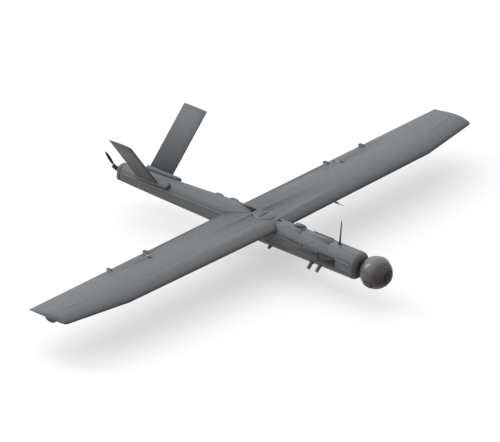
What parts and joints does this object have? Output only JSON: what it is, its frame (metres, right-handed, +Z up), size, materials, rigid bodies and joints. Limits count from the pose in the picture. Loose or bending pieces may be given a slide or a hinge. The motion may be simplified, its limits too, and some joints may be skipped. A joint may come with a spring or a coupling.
{
  "type": "fixed wing drone",
  "caption": "Slim fixed wing drone with a straight shoulder wing, V tail, folding pusher propeller and a stabilised camera ball at the nose.",
  "frame": {"origin": "middle of the launch rail's lower face, under the belly", "axes": "+X forward to the camera ball, +Y to the drone's left along the span, +Z up"},
  "size_m": [1.3315, 2.54, 0.3344],
  "materials": {
    "airframe_paint": "semi-matte mid grey paint over composite",
    "ball_paint": "dark grey gloss",
    "dark_glass": "dark coated window",
    "carbon": "moulded carbon blade, satin",
    "dark_plastic": "dark moulded plastic",
    "bright_metal": "satin machined",
    "brass": "plated connector shell",
    "battery_wrap": "shrink wrap"
  },
  "bodies": {
    "airframe": {"tail_cap": "airframe_paint", "tail_shell": "airframe_paint", "centre_shell": "airframe_paint", "nose_shell": "airframe_paint", "nose_cap": "airframe_paint", "left_side_rail": "airframe_paint", "right_side_rail": "airframe_paint", "right_front_rail": "airframe_paint", "launch_rail": "airframe_paint", "side_window": "dark_plastic", "motor_plate": "bright_metal", "nose_bulkhead": "dark_plastic", "battery_pack": "battery_wrap", "autopilot_box": "dark_plastic", "data_radio": "dark_plastic", "speed_controller": "dark_plastic", "left_wing": "airframe_paint", "right_wing": "airframe_paint", "wing_joiner_rod": "bright_metal", "pitot_probe": "bright_metal", "left_aileron_servo": "dark_plastic", "right_aileron_servo": "dark_plastic", "left_tail_fairing": "airframe_paint", "right_tail_fairing": "airframe_paint", "left_tail_servo": "dark_plastic", "right_tail_servo": "dark_plastic", "motor": "bright_metal", "gimbal_roll_motor": "bright_metal", "belly_connector_1": "airframe_paint", "belly_connector_2": "brass", "satellite_dome": "airframe_paint", "air_scoop_1": "airframe_paint", "air_scoop_2": "airframe_paint", "whip_antenna": "dark_plastic", "blade_antenna": "airframe_paint"},
    "hatch": {"battery_hatch": "airframe_paint", "hatch_hinge": "dark_plastic"},
    "arming_button": {"arming_button": "dark_plastic"},
    "wing_lock": {"wing_lock_knob": "airframe_paint"},
    "left_aileron": {"left_aileron": "airframe_paint"},
    "left_servo_arm": {"left_servo_arm": "dark_plastic"},
    "left_push_rod": {"left_push_rod": "bright_metal"},
    "left_tail": {"left_tail_panel": "airframe_paint", "left_tail_pivot_tube": "bright_metal"},
    "right_aileron": {"right_aileron": "airframe_paint"},
    "right_servo_arm": {"right_servo_arm": "dark_plastic"},
    "right_push_rod": {"right_push_rod": "bright_metal"},
    "right_tail": {"right_tail_panel": "airframe_paint", "right_tail_pivot_tube": "bright_metal"},
    "propeller": {"prop_hub": "dark_plastic", "motor_shaft": "bright_metal"},
    "blade_1": {"prop_blade_1": "carbon"},
    "blade_2": {"prop_blade_2": "carbon"},
    "gimbal_fork": {"gimbal_fork": "dark_plastic"},
    "ball": {"ball_shell": "ball_paint", "left_tilt_cap": "dark_plastic", "right_tilt_cap": "dark_plastic", "front_window": "dark_glass", "camera_core": "dark_plastic"}
  },
  "joints": [
    {"name": "propeller_spin", "type": "hinge", "parent": "airframe", "child": "propeller", "pos_m": [-0.953, 0, 0.0573], "axis": [1, 0, 0], "continuous": true},
    {"name": "blade_fold_1", "type": "hinge", "parent": "propeller", "child": "blade_1", "pos_m": [-0.953, -0.00881, 0.06818], "axis": [0, -0.7771, -0.6293], "range_deg": [0, 85]},
    {"name": "blade_fold_2", "type": "hinge", "parent": "propeller", "child": "blade_2", "pos_m": [-0.953, 0.00881, 0.04642], "axis": [0, 0.7771, 0.6293], "range_deg": [0, 85]},
    {"name": "left_aileron_hinge", "type": "hinge", "parent": "airframe", "child": "left_aileron", "pos_m": [-0.358, 0.676, 0.08874], "axis": [0, 1, 0], "range_deg": [-25, 25]},
    {"name": "left_servo_turn", "type": "hinge", "parent": "airframe", "child": "left_servo_arm", "pos_m": [-0.324, 0.597, 0.09024], "axis": [0, 1, 0], "range_deg": [-26, 26]},
    {"name": "left_push_rod_slide", "type": "slide", "parent": "airframe", "child": "left_push_rod", "axis": [1, 0, 0], "range_m": [-0.0046, 0.0046]},
    {"name": "left_tail_pivot", "type": "hinge", "parent": "airframe", "child": "left_tail", "pos_m": [-0.748, 0.00885, 0.04919], "axis": [0, 0.6756, 0.7373], "range_deg": [-20, 20]},
    {"name": "right_aileron_hinge", "type": "hinge", "parent": "airframe", "child": "right_aileron", "pos_m": [-0.358, -0.676, 0.08874], "axis": [0, 1, 0], "range_deg": [-25, 25]},
    {"name": "right_servo_turn", "type": "hinge", "parent": "airframe", "child": "right_servo_arm", "pos_m": [-0.324, -0.597, 0.09024], "axis": [0, 1, 0], "range_deg": [-26, 26]},
    {"name": "right_push_rod_slide", "type": "slide", "parent": "airframe", "child": "right_push_rod", "axis": [1, 0, 0], "range_m": [-0.0046, 0.0046]},
    {"name": "right_tail_pivot", "type": "hinge", "parent": "airframe", "child": "right_tail", "pos_m": [-0.748, -0.00885, 0.04919], "axis": [0, -0.6756, 0.7373], "range_deg": [-20, 20]},
    {"name": "gimbal_roll", "type": "hinge", "parent": "airframe", "child": "gimbal_fork", "pos_m": [0.299, 0, 0.0573], "axis": [1, 0, 0], "range_deg": [-170, 170]},
    {"name": "gimbal_tilt", "type": "hinge", "parent": "gimbal_fork", "child": "ball", "pos_m": [0.299, 0, 0.0573], "axis": [0, 0.8192, 0.5736], "range_deg": [-15, 90]},
    {"name": "hatch_open", "type": "hinge", "parent": "airframe", "child": "hatch", "pos_m": [0.017, 0.03716, 0.10226], "axis": [-1, 0, 0], "range_deg": [0, 110]},
    {"name": "wing_lock_turn", "type": "hinge", "parent": "airframe", "child": "wing_lock", "pos_m": [-0.235, -0.01, 0.11035], "axis": [0, 0, 1], "range_deg": [0, 90]},
    {"name": "arming_button_press", "type": "slide", "parent": "airframe", "child": "arming_button", "axis": [0, 1, 0], "range_m": [0, 0.002], "stiffness_N_per_m": 400}
  ],
  "couplings": [
    {"joint": "left_servo_turn", "follows": "left_aileron_hinge", "ratio": 1},
    {"joint": "left_push_rod_slide", "follows": "left_aileron_hinge", "m_per_rad": 0.01},
    {"joint": "right_servo_turn", "follows": "right_aileron_hinge", "ratio": 1},
    {"joint": "right_push_rod_slide", "follows": "right_aileron_hinge", "m_per_rad": 0.01}
  ]
}
